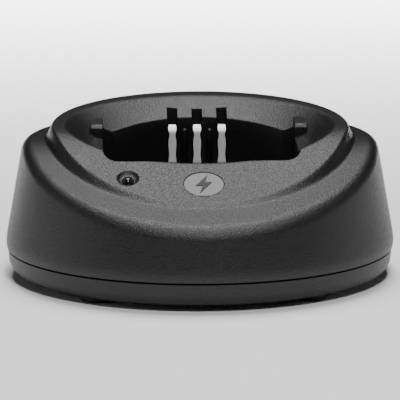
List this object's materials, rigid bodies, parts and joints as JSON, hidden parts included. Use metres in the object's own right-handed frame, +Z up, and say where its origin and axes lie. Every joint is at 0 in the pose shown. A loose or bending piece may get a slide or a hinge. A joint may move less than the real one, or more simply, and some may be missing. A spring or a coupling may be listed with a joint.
{
  "type": "desktop charger cradle",
  "caption": "Oval desktop charger cradle with a sloping front, a raised collar and a deep pocket with spring contacts for a hand-held two-way radio.",
  "frame": {"origin": "on the table, under the middle of the oval base", "axes": "+X along the width, to the right seen from the front; +Y towards the back, where the power inlet is; +Z up"},
  "size_m": [0.125, 0.1079, 0.0523],
  "materials": {
    "housing_plastic": "fine spark-eroded grain",
    "tray_plastic": "fine spark-eroded grain",
    "badge_plastic": "satin",
    "light_pipe_plastic": "clear smoked, polished dome",
    "led_lens": "clear",
    "label_film": "satin film",
    "screw_steel": "zinc plated",
    "block_plastic": "fine matte",
    "contact_metal": "nickel plated, satin",
    "board_laminate": "solder resist",
    "jack_plastic": "fine matte",
    "jack_metal": "plated",
    "chip_plastic": "moulded",
    "fuse_ceramic": "matte",
    "chip_ceramic": "matte",
    "can_aluminium": "drawn",
    "ferrite": "sintered",
    "copper_wire": "enamelled",
    "foot_rubber": "matte"
  },
  "bodies": {
    "cradle": {"top_housing": "housing_plastic", "base_tray": "tray_plastic", "badge_inlay": "badge_plastic", "led_light_pipe": "light_pipe_plastic", "status_led": "led_lens", "rating_label": "label_film", "rubber_foot_front_left": "foot_rubber", "rubber_foot_front_right": "foot_rubber", "rubber_foot_rear_left": "foot_rubber", "rubber_foot_rear_right": "foot_rubber", "housing_screws": "screw_steel", "board_screws": "screw_steel", "contact_block": "block_plastic", "contact_tails": "contact_metal", "charger_board": "board_laminate", "dc_jack": "jack_plastic", "dc_jack_pin": "jack_metal", "dc_jack_terminals": "jack_metal", "charge_controller": "chip_plastic", "power_transistor": "chip_plastic", "rectifier_diode": "chip_plastic", "fuse": "fuse_ceramic", "chip_components": "chip_ceramic", "input_capacitor": "can_aluminium", "output_capacitor": "can_aluminium", "inductor_core": "ferrite", "inductor_winding": "copper_wire"},
    "contact_left": {"contact_blade_left": "contact_metal"},
    "contact_centre": {"contact_blade_centre": "contact_metal"},
    "contact_right": {"contact_blade_right": "contact_metal"}
  },
  "joints": [
    {"name": "contact_left_flex", "type": "hinge", "parent": "cradle", "child": "contact_left", "pos_m": [-0.00815, 0.0294, 0.018], "axis": [-1, 0, 0], "range_deg": [0, 5], "stiffness_Nm_per_rad": 0.2},
    {"name": "contact_centre_flex", "type": "hinge", "parent": "cradle", "child": "contact_centre", "pos_m": [0, 0.0294, 0.018], "axis": [-1, 0, 0], "range_deg": [0, 5], "stiffness_Nm_per_rad": 0.2},
    {"name": "contact_right_flex", "type": "hinge", "parent": "cradle", "child": "contact_right", "pos_m": [0.00815, 0.0294, 0.018], "axis": [-1, 0, 0], "range_deg": [0, 5], "stiffness_Nm_per_rad": 0.2}
  ]
}
